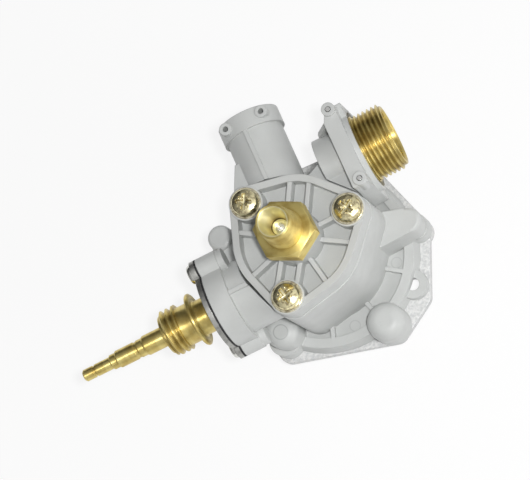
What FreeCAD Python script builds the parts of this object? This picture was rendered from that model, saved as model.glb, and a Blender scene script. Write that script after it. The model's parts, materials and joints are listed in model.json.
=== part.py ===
"""Water-side diverter valve with a diaphragm actuator, as a parametric FreeCAD document.

Frame: millimetres, +Z up along the push pin, +X towards the threaded inlet nipple,
+Y towards the plain outlet stub. The origin is the centre of the flat on the back
cover's dome, which the valve rests on.
"""
import FreeCAD, Part
import math
import os
import Sketcher
from FreeCAD import Placement, Rotation, Vector

doc = FreeCAD.newDocument("diverter_valve")
sheet = doc.addObject("Spreadsheet::Sheet", "sizes")


# ---------------------------------------------------------------- driving sizes
class Size:
    """A length or angle that carries both its number and its spreadsheet expression."""

    def __init__(self, value, text):
        self.value = value
        self.text = text

    def _join(self, other, sign, value):
        text = other.text if isinstance(other, Size) else repr(other)
        return Size(value, "(" + self.text + " " + sign + " " + text + ")")

    def __add__(self, other):
        return self._join(other, "+", self.value + number(other))

    def __sub__(self, other):
        return self._join(other, "-", self.value - number(other))

    def __mul__(self, other):
        return self._join(other, "*", self.value * number(other))

    def __truediv__(self, other):
        return self._join(other, "/", self.value / number(other))

    def __neg__(self):
        return Size(-self.value, "(0 - " + self.text + ")")


def number(size):
    return size.value if isinstance(size, Size) else float(size)


def text(size):
    return size.text if isinstance(size, Size) else repr(float(size))


class Sizes:
    """Writes each driving size to the sheet and hands it back as a Size."""

    def __init__(self):
        self._row = 0

    def add(self, **values):
        for name, value in values.items():
            self._row += 1
            cell = "B%d" % self._row
            sheet.set("A%d" % self._row, name)
            sheet.set(cell, str(value))
            sheet.setAlias(cell, name)
            setattr(self, name, Size(float(value), "sizes." + name))


dim = Sizes()
# Back cover: a die-cast plate with a shallow dome.
dim.add(dome_depth=15, dome_foot=19, dome_radius=29, plate_thick=3.5, cover_wall=3,
        cover_pocket=26, screw_land=5, plate_corner=4.5)
# Diaphragm flange of the moulded housing.
dim.add(flange_radius=36.6, rim_radius=35.4, rim_inner=31.5, floor_level=22.6, rim_level=25,
        rib_width=1.7, lug_level=27, lug_radius=6.2, recess_radius=28, recess_depth=1.8)
# Round chamber above the flange.
dim.add(chamber_low=24.6, chamber_top=24.2, cap_seat=62, lobe_circle=22.7, lobe_radius=7,
        lower_bore=21.5, shelf_low=44, shelf_high=49, upper_bore=15.5, seat_bore=6.5,
        seal_groove=1.6)
# Ribbed cap.
dim.add(cap_radius=23.6, cap_lobe=6.6, cap_rim=71, lobe_top=71.6, cap_floor=65, cap_wall=2.7,
        hub_radius=10.2, hub_top=77.3, gland_bore=8.05, spigot_radius=15.3, spigot_depth=4,
        spigot_bore=11.2, cap_rib=1.7, cap_rib_top=70.2, rib_pair=7.3, cap_gap=1.1)
# Brass gland on top, with the push pin in its throat.
dim.add(hex_base=78, hex_width=20.5, hex_height=7.8, neck_foot=7.5, neck_rim=6.3, gland_top=100,
        funnel_rim=5.3, funnel_throat=2.7, throat_level=87.2, pin_bore=2.05, pin_radius=2,
        pin_top=88.4, gland_foot=66)
# Outlet stub.
dim.add(outlet_level=57.5, outlet_radius=11.1, outlet_head=12.2, outlet_end=53.4,
        outlet_head_length=7, outlet_bore=8.6, outlet_bore_depth=25.4, port_level=55.1,
        port_radius=4.3, ridge_x=-0.9, ridge_rise=0.6, clip_hole_y=50.4, clip_hole_x=7.55,
        clip_hole=1.1, clip_boss=2.4, clip_boss_top=68.9)
# Inlet socket with its clip block, and the nipple.
dim.add(inlet_y=22, inlet_level=57, block_low=28, block_high=34.2, block_near=5.2,
        block_far=37.4, block_bottom=40, block_top=74.2, collar_radius=16.8, collar_end=36.2,
        collar_far=38.6, collar_top=70, socket_radius=15.4, socket_floor=29.2, tail_bore=9.2,
        tail_floor=22.4, inlet_clip_x=31.8, inlet_clip_half=14.6, clip_wire=0.9,
        inlet_boss=2.6, inlet_boss_top=75.4, thread_major=13.22, nipple_end=48.2,
        nipple_bore=10.4)
# Housing of the inlet's tail, with the ramp and the web that join it to the chamber.
dim.add(housing_start=19.3, housing_radius=11.6, ramp_low=46.4, ramp_top=66, ramp_near=6,
        web_top=60, gusset_y=33.5)
# Side chamber with the control spindle.
dim.add(spindle_y=-7.8, spindle_level=55.6, side_radius=13.8, side_back=31, side_face=39,
        side_disc=16, side_ear=4.7, side_ear_at=16.5, side_ear_turn=30, side_bore=11.2,
        side_bore_floor=25, port_bore=6.2, side_gasket=0.8, side_plate=1.8,
        ear_boss=4.2, ear_boss_back=28.4, side_pilot=6.4)
# Screw heads and washers.
dim.add(cap_washer=0.8, cap_washer_radius=5.4, cap_head=4.9, cap_head_height=2.9,
        cover_head=4, cover_head_height=2.4, side_head=3.9, side_head_height=2.6)
# Pillars that take the back cover screws: radius from the axis, angle, radius, top level
# and the rounding of the top.
dim.add(pillar_a_at=37, pillar_a_turn=-70.5, pillar_a_radius=7.6, pillar_a_top=34,
        pillar_a_round=4.6, pillar_b_at=33, pillar_b_turn=-140, pillar_b_radius=6.6,
        pillar_b_top=38, pillar_b_round=3.6, pillar_c_at=37.4, pillar_c_turn=-8,
        pillar_c_radius=4.9, pillar_c_top=40, pillar_c_round=1.2, pillar_d_at=38.6,
        pillar_d_turn=53.4, pillar_d_radius=4.8, pillar_d_top=46, pillar_d_round=1.6,
        pillar_e_at=37, pillar_e_turn=146.5, pillar_e_radius=5, pillar_e_top=46,
        pillar_e_round=1.6)
dim.add(ear_at=36.2, ear_turn=-42.3, ear_radius=5.7, ear_hole=2.45,
        cover_ear_hole=3.35, screw_radius=2, screw_play=0.3, pilot_depth=11,
        post_web_low=-35.4, post_web_high=-27.5, post_web_top=44.5)
doc.recompute()

plate_front = dim.dome_depth + dim.plate_thick


# How a piece that is made upright is laid along a direction of the valve.
TURNS = {"Z": Rotation(), "-Z": Rotation(Vector(1, 0, 0), 180),
         "X": Rotation(Vector(0, 1, 0), 90), "-X": Rotation(Vector(0, 1, 0), -90),
         "Y": Rotation(Vector(1, 0, 0), -90)}


# ---------------------------------------------------------------- document helpers
def bind(item, path, size):
    """Tie one property of an object to the sheet."""
    item.setExpression(path, text(size))


def polar(radius, degrees):
    """The x and y of a point at a radius and an angle, still tied to the sheet."""
    angle = math.radians(number(degrees))
    return radius * round(math.cos(angle), 6), radius * round(math.sin(angle), 6)


def new_body(label):
    body = doc.addObject("PartDesign::Body", label)
    body.Label = label
    return body


def origin_plane(body, role):
    for feature in body.Origin.OriginFeatures:
        if feature.Role == role:
            return feature
    raise ValueError("no origin plane " + role)


def new_sketch(body, name, role="XY_Plane", offset=0, turn=0, at=(0, 0)):
    """A sketch on an origin plane of its own body, lifted by offset, moved and turned in it."""
    sketch = body.newObject("Sketcher::SketchObject", name)
    sketch.AttachmentSupport = [(origin_plane(body, role), "")]
    sketch.MapMode = "FlatFace"
    shift = (at[0], at[1], offset)
    swing = Rotation(Vector(0, 0, 1), number(turn))
    sketch.AttachmentOffset = Placement(Vector(*[number(size) for size in shift]), swing)
    for axis, size in zip("xyz", shift):
        bind(sketch, "AttachmentOffset.Base." + axis, size)
    return sketch


def pin_point(sketch, geometry, vertex, x, y):
    """Hold a sketch point at x, y by constraints that follow the sheet."""
    for axis, kind, size in ((-2, "DistanceX", x), (-1, "DistanceY", y)):
        if number(size) == 0:
            sketch.addConstraint(Sketcher.Constraint("PointOnObject", geometry, vertex, axis))
            continue
        rule = Sketcher.Constraint(kind, -1, 1, geometry, vertex, number(size))
        index = sketch.addConstraint(rule)
        bind(sketch, "Constraints[%d]" % index, size)


def circle(sketch, x, y, radius):
    shape = Part.Circle(Vector(number(x), number(y), 0), Vector(0, 0, 1), number(radius))
    geometry = sketch.addGeometry(shape)
    pin_point(sketch, geometry, 3, x, y)
    index = sketch.addConstraint(Sketcher.Constraint("Radius", geometry, number(radius)))
    bind(sketch, "Constraints[%d]" % index, radius)


def polygon(sketch, corners):
    """A closed outline whose every corner is held at its own x and y."""
    points = [Vector(number(x), number(y), 0) for x, y in corners]
    lines = []
    for start, end in zip(points, points[1:] + points[:1]):
        lines.append(sketch.addGeometry(Part.LineSegment(start, end)))
    for line, following in zip(lines, lines[1:] + lines[:1]):
        sketch.addConstraint(Sketcher.Constraint("Coincident", line, 2, following, 1))
    for line, (x, y) in zip(lines, corners):
        pin_point(sketch, line, 1, x, y)


def rectangle(sketch, x_low, x_high, y_low, y_high):
    polygon(sketch, [(x_low, y_low), (x_high, y_low), (x_high, y_high), (x_low, y_high)])


def extrude(body, kind, sketch, length, reverse=False):
    feature = body.newObject("PartDesign::" + kind, sketch.Name + "_" + kind.lower())
    feature.Profile = sketch
    feature.Length = number(length)
    bind(feature, "Length", length)
    feature.Reversed = reverse
    body.Tip = feature
    return feature


def pad(body, sketch, length, reverse=False):
    return extrude(body, "Pad", sketch, length, reverse)


def pocket(body, sketch, length, reverse=False):
    return extrude(body, "Pocket", sketch, length, reverse)


def spin(body, kind, name, corners):
    """Revolve (or groove) a profile of radius and height pairs about the body's Z axis."""
    sketch = new_sketch(body, name, "XZ_Plane")
    polygon(sketch, corners)
    feature = body.newObject("PartDesign::" + kind, name + "_" + kind.lower())
    feature.Profile = sketch
    feature.ReferenceAxis = (sketch, ["V_Axis"])
    feature.Angle = 360
    body.Tip = feature
    return feature


def polar_pattern(body, feature, count):
    pattern = body.newObject("PartDesign::PolarPattern", feature.Name + "_pattern")
    pattern.Originals = [feature]
    pattern.Axis = (origin_axis(body, "Z_Axis"), [""])
    pattern.Angle = 360
    pattern.Occurrences = count
    body.Tip = pattern
    return pattern


def origin_axis(body, role):
    for feature in body.Origin.OriginFeatures:
        if feature.Role == role:
            return feature
    raise ValueError("no origin axis " + role)


def round_edges(body, name, chosen, radius):
    """Fillet the edges of the body so far for which chosen(edge) is true."""
    doc.recompute()
    base = body.Tip
    names = ["Edge%d" % (i + 1) for i, edge in enumerate(base.Shape.Edges) if chosen(edge)]
    if not names:
        raise ValueError(name + " found no edge")
    feature = body.newObject("PartDesign::Fillet", name)
    feature.Base = (base, names)
    feature.Radius = number(radius)
    bind(feature, "Radius", radius)
    body.Tip = feature
    return feature


def is_ring_at(x, y, z):
    """A test for the circular edge whose centre is at a place."""
    centre = Vector(number(x), number(y), number(z))
    near = 0.05

    def chosen(edge):
        curve = edge.Curve
        return hasattr(curve, "Center") and curve.Center.distanceToPoint(centre) < near

    return chosen


def is_upright(edge):
    """True for a straight edge that runs along Z."""
    box = edge.BoundBox
    return box.XLength + box.YLength < 0.01


def lay(item, at, along):
    """Put an upright piece at a point tied to the sheet, its axis along a direction."""
    item.Placement = Placement(Vector(*[number(size) for size in at]), TURNS[along])
    for axis, size in zip("xyz", at):
        bind(item, "Placement.Base." + axis, size)


def turned(label, corners, along="Z", at=(0, 0, 0)):
    """A lathe-turned piece: a radius and length profile spun about its own axis."""
    body = new_body(label)
    spin(body, "Revolution", label + "_profile", corners)
    lay(body, at, along)
    return body


def cylinder(name, radius, height, at, along="Z"):
    """A Part primitive tied to the sheet, its axis along one of the valve's directions."""
    item = doc.addObject("Part::Cylinder", name)
    bind(item, "Radius", radius)
    bind(item, "Height", height)
    lay(item, at, along)
    return item


# Turns of the three cap screws about the valve's axis.
THIRDS = (0, 120, 240)


def add_lobes(body, kind, name, offset, radius, length, reverse=False):
    """Pad or pocket the three round screw lobes."""
    lobes = new_sketch(body, name, offset=offset)
    for turn in THIRDS:
        circle(lobes, *polar(dim.lobe_circle, turn), radius)
    extrude(body, kind, lobes, length, reverse)


def add_flanks(body, kind, name, offset, radii, length, reverse=False):
    """Pad or pocket the straight flanks that run from a round middle to its three lobes."""
    round_radius, lobe_radius = radii
    fall = number(round_radius - lobe_radius) / number(dim.lobe_circle)
    lean = math.degrees(math.acos(fall))
    flanks = new_sketch(body, name, offset=offset)
    for turn in THIRDS:
        x, y = polar(dim.lobe_circle, turn)
        middle = [polar(round_radius - 0.02, turn + lean * side) for side in (-1, 1)]
        outer = [polar(lobe_radius - 0.02, turn + lean * side) for side in (-1, 1)]
        outer = [(x + out_x, y + out_y) for out_x, out_y in outer]
        polygon(flanks, [middle[0], outer[0], outer[1], middle[1]])
    extrude(body, kind, flanks, length, reverse)


# ---------------------------------------------------------------- moulded housing
PILLARS = ("a", "b", "c", "d", "e")
# Which pillars have a lug, how far out of the pillar's centre, and how much smaller.
LUGS = (("b", 2.6, 0), ("c", 0.2, 1), ("d", 1, 0), ("e", 1, 0))


def pillar(letter):
    """The radius, angle, own radius, top level and rounding of one screw pillar."""
    keys = ("at", "turn", "radius", "top", "round")
    return [getattr(dim, "pillar_%s_%s" % (letter, key)) for key in keys]


def pillar_centre(letter):
    reach, turn = pillar(letter)[:2]
    return polar(reach, turn)


def add_flange_and_chamber(body):
    """The round flange with its raised rim, and the chamber that stands on it."""
    spin(body, "Revolution", "shell", [
        (0, plate_front), (dim.flange_radius, plate_front), (dim.rim_radius, dim.rim_level),
        (dim.rim_inner, dim.rim_level), (dim.rim_inner, dim.floor_level),
        (dim.chamber_low, dim.floor_level), (dim.chamber_top, dim.cap_seat), (0, dim.cap_seat)])
    height = dim.cap_seat - dim.floor_level
    add_lobes(body, "Pad", "screw_lobe", dim.floor_level, dim.lobe_radius, height)
    add_flanks(body, "Pad", "lobe_flank", dim.floor_level, (dim.chamber_top, dim.lobe_radius),
               height)
    rib = new_sketch(body, "flange_rib", offset=plate_front, turn=-36)
    half = dim.rib_width / 2
    rectangle(rib, dim.lower_bore + 1, dim.rim_inner + 1, -half, half)
    polar_pattern(body, pad(body, rib, dim.rim_level - plate_front), 10)


def add_pillars(body):
    """Screw pillars round the flange, each with its lug, and the mounting ear."""
    for letter in PILLARS:
        _, _, radius, top, rounding = pillar(letter)
        centre = pillar_centre(letter)
        post = new_sketch(body, "pillar_" + letter, offset=plate_front)
        circle(post, *centre, radius)
        pad(body, post, top - plate_front)
        round_edges(body, "pillar_round_" + letter, is_ring_at(*centre, top), rounding)
    lugs = new_sketch(body, "lugs", offset=plate_front)
    for letter, step, shrink in LUGS:
        reach, turn = pillar(letter)[:2]
        circle(lugs, *polar(reach + step, turn), dim.lug_radius - shrink)
    pad(body, lugs, dim.lug_level - plate_front)
    ear = new_sketch(body, "ear", offset=plate_front)
    circle(ear, *polar(dim.ear_at, dim.ear_turn), dim.ear_radius)
    pad(body, ear, dim.floor_level - plate_front)


def add_buttresses(body):
    """Webs that tie the pillars to the chamber wall and the last one to the side chamber."""
    for letter, drop in (("c", 0), ("d", 3)):
        reach, turn, radius, top, _ = pillar(letter)
        web = new_sketch(body, "buttress_" + letter, offset=plate_front, turn=turn)
        polygon(web, [(dim.upper_bore, -radius * 1.7), (reach, -radius), (reach, radius),
                      (dim.upper_bore, radius * 1.7)])
        pad(body, web, top - drop - plate_front)
    reach, turn, radius, top, rounding = pillar("e")
    web = new_sketch(body, "buttress_e", offset=plate_front, turn=turn)
    rectangle(web, dim.lower_bore, reach, -radius * 0.45, radius * 0.45)
    pad(body, web, top - rounding * 2 - plate_front)
    post = new_sketch(body, "post_web", offset=plate_front)
    rectangle(post, dim.post_web_low, dim.post_web_high, 0, pillar_centre("e")[1])
    pad(body, post, dim.post_web_top - plate_front)


def add_outlet(body):
    """The plain outlet stub along +Y, with a thicker head and two bosses for a wire clip."""
    tube = new_sketch(body, "outlet_tube", "XZ_Plane")
    circle(tube, 0, dim.outlet_level, dim.outlet_radius)
    pad(body, tube, dim.outlet_end, reverse=True)
    head = new_sketch(body, "outlet_head", "XZ_Plane",
                      offset=dim.outlet_head_length - dim.outlet_end)
    circle(head, 0, dim.outlet_level, dim.outlet_head)
    pad(body, head, dim.outlet_head_length, reverse=True)
    bosses = new_sketch(body, "outlet_bosses", offset=dim.outlet_level)
    for side in (-1, 1):
        circle(bosses, dim.clip_hole_x * side, dim.clip_hole_y, dim.clip_boss)
    pad(body, bosses, dim.clip_boss_top - dim.outlet_level)
    gusset = new_sketch(body, "outlet_gusset", offset=dim.outlet_level - dim.outlet_radius)
    polygon(gusset, [(0, dim.lower_bore), (-dim.lobe_circle * 0.8, dim.lower_bore),
                     (-dim.outlet_radius + 0.4, dim.outlet_end * 0.7), (0, dim.outlet_end * 0.7)])
    pad(body, gusset, dim.outlet_radius * 1.6)
    ridge = new_sketch(body, "outlet_ridge", offset=dim.outlet_level)
    half = dim.rib_width / 2
    rectangle(ridge, dim.ridge_x - half, dim.ridge_x + half, dim.chamber_top,
              dim.outlet_end - dim.outlet_head_length)
    pad(body, ridge, dim.outlet_radius + dim.ridge_rise)


def add_inlet(body):
    """The inlet socket along +X: the tail's housing, a clip block and a collar."""
    housing = new_sketch(body, "tail_housing", "YZ_Plane", offset=dim.housing_start)
    circle(housing, dim.inlet_y, dim.inlet_level, dim.housing_radius)
    pad(body, housing, dim.block_low + 1 - dim.housing_start)
    add_inlet_webs(body)
    block = new_sketch(body, "clip_block", offset=dim.block_bottom)
    corner = dim.inlet_clip_x - dim.inlet_boss + 0.2
    polygon(block, [(dim.block_low, dim.block_near), (dim.block_high, dim.block_near),
                    (dim.block_high, dim.block_far), (corner, dim.block_far),
                    (corner, dim.block_far - 2), (dim.block_low, dim.block_far - 5)])
    pad(body, block, dim.block_top - dim.block_bottom)
    collar = new_sketch(body, "socket_collar", "YZ_Plane", offset=dim.block_low + 1)
    circle(collar, dim.inlet_y, dim.inlet_level, dim.collar_radius)
    pad(body, collar, dim.collar_end - dim.block_low - 1)
    fin = new_sketch(body, "collar_fin", "YZ_Plane", offset=dim.block_high - 1)
    rectangle(fin, dim.inlet_y, dim.collar_far, dim.block_bottom + 4, dim.collar_top)
    pad(body, fin, dim.collar_end - dim.block_high + 1)
    foot = dim.block_top - 8
    bosses = new_sketch(body, "inlet_bosses", offset=foot)
    for side in (-1, 1):
        circle(bosses, dim.inlet_clip_x, dim.inlet_y + dim.inlet_clip_half * side,
               dim.inlet_boss)
    pad(body, bosses, dim.inlet_boss_top - foot)


def add_inlet_webs(body):
    """The ramp and the web from the tail's housing to the chamber, and the block's gusset."""
    start = dim.housing_start
    ramp = new_sketch(body, "inlet_ramp", offset=dim.ramp_low)
    rectangle(ramp, start, dim.block_low + 1, dim.ramp_near, dim.inlet_y)
    pad(body, ramp, dim.ramp_top - dim.ramp_low)
    web = new_sketch(body, "inlet_web", offset=plate_front)
    polygon(web, [(8, 14), (start + 4, 12), (start + 4, dim.inlet_y), (start, dim.inlet_y + 2.9),
                  (start - 7.8, dim.inlet_y - 0.5)])
    pad(body, web, dim.web_top - plate_front)
    gusset = new_sketch(body, "block_gusset", "XZ_Plane",
                        offset=-(dim.gusset_y + dim.rib_width / 2))
    polygon(gusset, [(start + 3, dim.web_top), (dim.block_low + 1, dim.web_top),
                     (dim.block_low + 1, dim.block_top - 2.2), (start + 4, dim.web_top + 3)])
    pad(body, gusset, dim.rib_width)


def side_sketch(body, name, offset=0, turn=0):
    """A sketch square to the spindle, its own origin on the spindle's axis."""
    return new_sketch(body, name, "YZ_Plane", offset=offset, turn=turn,
                      at=(dim.spindle_y, dim.spindle_level))


def add_side_chamber(body):
    """The side chamber along -X, with an eared flange for the steel side cover."""
    drum = side_sketch(body, "side_drum")
    circle(drum, 0, 0, dim.side_radius)
    pad(body, drum, dim.side_back, reverse=True)
    disc = side_sketch(body, "side_disc", offset=-dim.side_back)
    circle(disc, 0, 0, dim.side_disc)
    pad(body, disc, dim.side_face - dim.side_back, reverse=True)
    bar = side_sketch(body, "side_bar", offset=-dim.side_back, turn=dim.side_ear_turn)
    rectangle(bar, -dim.side_ear_at, dim.side_ear_at, -dim.side_ear, dim.side_ear)
    pad(body, bar, dim.side_face - dim.side_back, reverse=True)
    ears = side_sketch(body, "side_ears", -dim.side_back, dim.side_ear_turn)
    bosses = side_sketch(body, "ear_bosses", -dim.ear_boss_back, dim.side_ear_turn)
    for side in (-1, 1):
        circle(ears, dim.side_ear_at * side, 0, dim.side_ear)
        circle(bosses, dim.side_ear_at * side, 0, dim.ear_boss)
    pad(body, ears, dim.side_face - dim.side_back, reverse=True)
    pad(body, bosses, dim.side_back - dim.ear_boss_back + 1, reverse=True)
    rib = new_sketch(body, "side_rib", offset=dim.spindle_level)
    rectangle(rib, -dim.side_back, -dim.upper_bore, dim.spindle_y - dim.rib_width / 2,
              dim.spindle_y + dim.rib_width / 2)
    pad(body, rib, dim.side_radius + 1.2)


def cut_cap_room(body):
    """Room for the cap above the parting line, so that the stubs end against its skirt."""
    radii = (dim.cap_radius + dim.cap_gap, dim.cap_lobe + dim.cap_gap)
    room = new_sketch(body, "cap_room", offset=dim.cap_seat)
    circle(room, 0, 0, radii[0])
    pocket(body, room, dim.cap_rim, reverse=True)
    add_lobes(body, "Pocket", "lobe_room", dim.cap_seat, radii[1], dim.cap_rim, True)
    add_flanks(body, "Pocket", "flank_room", dim.cap_seat, radii, dim.cap_rim, True)


def cut_chambers(body):
    """The diaphragm room below the shelf, the mixing room above it and the seat's bore."""
    recess_level = plate_front + dim.recess_depth
    spin(body, "Groove", "lower_room", [
        (0, plate_front - 1), (dim.recess_radius, plate_front - 1),
        (dim.recess_radius, recess_level), (dim.lower_bore, recess_level),
        (dim.lower_bore, dim.shelf_low - 4), (dim.lower_bore - 6, dim.shelf_low),
        (dim.seat_bore, dim.shelf_low), (dim.seat_bore, dim.shelf_high),
        (dim.upper_bore, dim.shelf_high), (dim.upper_bore, dim.cap_seat - dim.seal_groove),
        (dim.upper_bore + dim.seal_groove, dim.cap_seat - dim.seal_groove),
        (dim.upper_bore + dim.seal_groove, dim.cap_seat + 1), (0, dim.cap_seat + 1)])


def cut_ways(body):
    """Bores of the outlet, the inlet and the side chamber, down to the mixing room."""
    bore = new_sketch(body, "outlet_bore", "XZ_Plane", offset=-dim.outlet_end)
    circle(bore, 0, dim.outlet_level, dim.outlet_bore)
    pocket(body, bore, dim.outlet_bore_depth, reverse=True)
    port = new_sketch(body, "outlet_port", "XZ_Plane", offset=-dim.outlet_end)
    circle(port, 0, dim.port_level, dim.port_radius)
    pocket(body, port, dim.outlet_end - dim.upper_bore + 4, reverse=True)
    socket = new_sketch(body, "inlet_socket", "YZ_Plane", offset=dim.collar_end)
    circle(socket, dim.inlet_y, dim.inlet_level, dim.socket_radius)
    pocket(body, socket, dim.collar_end - dim.socket_floor)
    tail = new_sketch(body, "inlet_tail", "YZ_Plane", offset=dim.collar_end)
    circle(tail, dim.inlet_y, dim.inlet_level, dim.tail_bore)
    pocket(body, tail, dim.collar_end - dim.tail_floor)
    side = side_sketch(body, "side_bore", offset=-dim.side_face)
    circle(side, 0, 0, dim.side_bore)
    pocket(body, side, dim.side_face - dim.side_bore_floor, reverse=True)
    way = side_sketch(body, "side_port", offset=-dim.side_face)
    circle(way, 0, 0, dim.port_bore)
    pocket(body, way, dim.side_face - dim.upper_bore + 4, reverse=True)


def cut_inlet_port(body):
    """The slanted duct from the inlet's tail bore to the mixing room."""
    start = Vector(number(dim.tail_floor) + 1, number(dim.inlet_y) - 1.5,
                   number(dim.inlet_level) - 4.6)
    goal = Vector(4, 3, number(dim.shelf_high) + 4.6)
    duct = body.newObject("PartDesign::SubtractiveCylinder", "inlet_port")
    bind(duct, "Radius", dim.port_radius)
    duct.Height = start.distanceToPoint(goal)
    duct.Placement = Placement(start, Rotation(Vector(0, 0, 1), goal - start))
    body.Tip = duct


def cut_screw_holes(body):
    """Pilot holes of every screw, the clip holes and the hole in the ear."""
    add_lobes(body, "Pocket", "cap_pilots", dim.cap_seat, dim.screw_radius, dim.pilot_depth + 1)
    pilots = new_sketch(body, "cover_pilots", offset=plate_front)
    for letter in PILLARS:
        circle(pilots, *pillar_centre(letter), dim.screw_radius)
    pocket(body, pilots, dim.pilot_depth, reverse=True)
    pilots = side_sketch(body, "side_pilots", -dim.side_face, dim.side_ear_turn)
    for side in (-1, 1):
        circle(pilots, dim.side_ear_at * side, 0, dim.screw_radius)
    pocket(body, pilots, dim.side_pilot, reverse=True)
    clip = new_sketch(body, "clip_holes", offset=dim.inlet_boss_top)
    for side in (-1, 1):
        circle(clip, dim.clip_hole_x * side, dim.clip_hole_y, dim.clip_hole)
        circle(clip, dim.inlet_clip_x, dim.inlet_y + dim.inlet_clip_half * side, dim.clip_hole)
    pocket(body, clip, dim.inlet_boss_top - dim.block_bottom + 1)
    ear = new_sketch(body, "ear_hole", offset=dim.floor_level)
    circle(ear, *polar(dim.ear_at, dim.ear_turn), dim.ear_hole)
    pocket(body, ear, dim.floor_level - plate_front)


def make_main_body():
    body = new_body("main_body")
    add_flange_and_chamber(body)
    add_pillars(body)
    add_buttresses(body)
    add_outlet(body)
    add_inlet(body)
    add_side_chamber(body)
    cut_cap_room(body)
    cut_chambers(body)
    cut_ways(body)
    cut_inlet_port(body)
    cut_screw_holes(body)
    return body


# ---------------------------------------------------------------- ribbed cap
CAP_RIB_TURNS = (0, 120, 149, 197, 281, 328)
CAP_RIB_PAIRS = (61, 237)


def make_top_cap():
    """The moulded cap: a lobed skirt, a hub for the gland and ribs across its recess."""
    body = new_body("top_cap")
    height = dim.cap_rim - dim.cap_seat
    disc = new_sketch(body, "cap_disc", offset=dim.cap_seat)
    circle(disc, 0, 0, dim.cap_radius)
    pad(body, disc, height)
    add_flanks(body, "Pad", "cap_flank", dim.cap_seat, (dim.cap_radius, dim.cap_lobe), height)
    spigot = new_sketch(body, "cap_spigot", offset=dim.cap_seat)
    circle(spigot, 0, 0, dim.spigot_radius)
    pad(body, spigot, dim.spigot_depth, reverse=True)
    inner = dim.cap_radius - dim.cap_wall
    recess = new_sketch(body, "cap_recess", offset=dim.cap_rim)
    circle(recess, 0, 0, inner)
    pocket(body, recess, dim.cap_rim - dim.cap_floor)
    add_flanks(body, "Pocket", "recess_flank", dim.cap_rim,
               (inner, dim.cap_lobe - dim.cap_wall), dim.cap_rim - dim.cap_floor)
    add_lobes(body, "Pad", "cap_lobe", dim.cap_seat, dim.cap_lobe, dim.lobe_top - dim.cap_seat)
    hub = new_sketch(body, "cap_hub", offset=dim.cap_floor)
    circle(hub, 0, 0, dim.hub_radius)
    pad(body, hub, dim.hub_top - dim.cap_floor)
    add_cap_ribs(body, inner)
    cut_cap_holes(body)
    return body


def add_cap_ribs(body, inner):
    """Single ribs and two pairs of parallel ribs from the hub to the skirt."""
    half = dim.cap_rib / 2
    shifts = [(turn, 0) for turn in CAP_RIB_TURNS]
    shifts += [(turn, dim.rib_pair * side / 2) for turn in CAP_RIB_PAIRS for side in (-1, 1)]
    for count, (turn, shift) in enumerate(shifts):
        rib = new_sketch(body, "cap_rib_%d" % count, offset=dim.cap_floor, turn=turn)
        rectangle(rib, dim.hub_radius - 3, inner + 0.6, half * -1 + shift, half + shift)
        pad(body, rib, dim.cap_rib_top - dim.cap_floor)


def cut_cap_holes(body):
    """The gland's bore, the hollow of the spigot and the three screw holes."""
    bore = new_sketch(body, "gland_bore", offset=dim.hub_top)
    circle(bore, 0, 0, dim.gland_bore)
    pocket(body, bore, dim.hub_top)
    under = new_sketch(body, "cap_underside", offset=dim.cap_seat - dim.spigot_depth)
    circle(under, 0, 0, dim.spigot_bore)
    pocket(body, under, dim.spigot_depth + 1, reverse=True)
    add_lobes(body, "Pocket", "cap_screw_holes", dim.lobe_top, dim.screw_radius + dim.screw_play,
              dim.lobe_top - dim.cap_seat)


# ---------------------------------------------------------------- back cover and its screws
# Corners of the cover's plate, as a radius and an angle about the valve's axis.
PLATE_CORNERS = ((43.8, -137), (44.4, -72.5), (44, -47), (42.4, -6), (39.4, 5), (43.5, 46),
                 (41.5, 68), (41, 104), (43.5, 146), (40, 163), (39, -162))


def make_back_cover():
    """The cast cover: a many-cornered plate, a shallow dome and a boss for each screw."""
    body = new_body("back_cover")
    plate = new_sketch(body, "cover_plate", offset=dim.dome_depth)
    polygon(plate, [polar(Size(reach, repr(reach)), turn) for reach, turn in PLATE_CORNERS])
    pad(body, plate, dim.plate_thick)
    round_edges(body, "plate_corners", is_upright, dim.plate_corner)
    radius = dim.dome_radius
    spin(body, "Revolution", "dome", [
        (0, 0), (dim.dome_foot, 0), (radius - 4, 2.6), (radius, dim.dome_depth - 5),
        (radius + 1, dim.dome_depth + 1), (0, dim.dome_depth + 1)])
    bosses = new_sketch(body, "cover_bosses", offset=dim.dome_depth - dim.cover_wall)
    for letter in PILLARS:
        circle(bosses, *pillar_centre(letter), dim.screw_land)
    pad(body, bosses, dim.cover_wall + 1)
    pocket_floor = dim.cover_wall + 0.5
    spin(body, "Groove", "cover_room", [
        (0, pocket_floor), (dim.dome_foot - 2, pocket_floor),
        (dim.cover_pocket - 3, pocket_floor + 2.4), (dim.cover_pocket, dim.dome_depth - 4),
        (dim.cover_pocket, plate_front - 1.2), (dim.recess_radius + 2, plate_front - 1.2),
        (dim.recess_radius + 2, plate_front + 1), (0, plate_front + 1)])
    holes = new_sketch(body, "cover_holes", offset=plate_front)
    for letter in PILLARS:
        circle(holes, *pillar_centre(letter), dim.screw_radius + dim.screw_play)
    pocket(body, holes, dim.plate_thick + dim.cover_wall + 1)
    spot = new_sketch(body, "cover_spot_face", offset=dim.dome_depth - dim.cover_wall)
    circle(spot, *pillar_centre("b"), dim.cover_head + 0.5)
    pocket(body, spot, dim.dome_depth)
    ear = new_sketch(body, "cover_ear_hole", offset=plate_front)
    circle(ear, *polar(dim.ear_at, dim.ear_turn), dim.cover_ear_hole)
    pocket(body, ear, dim.plate_thick + 1)
    return body


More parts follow.
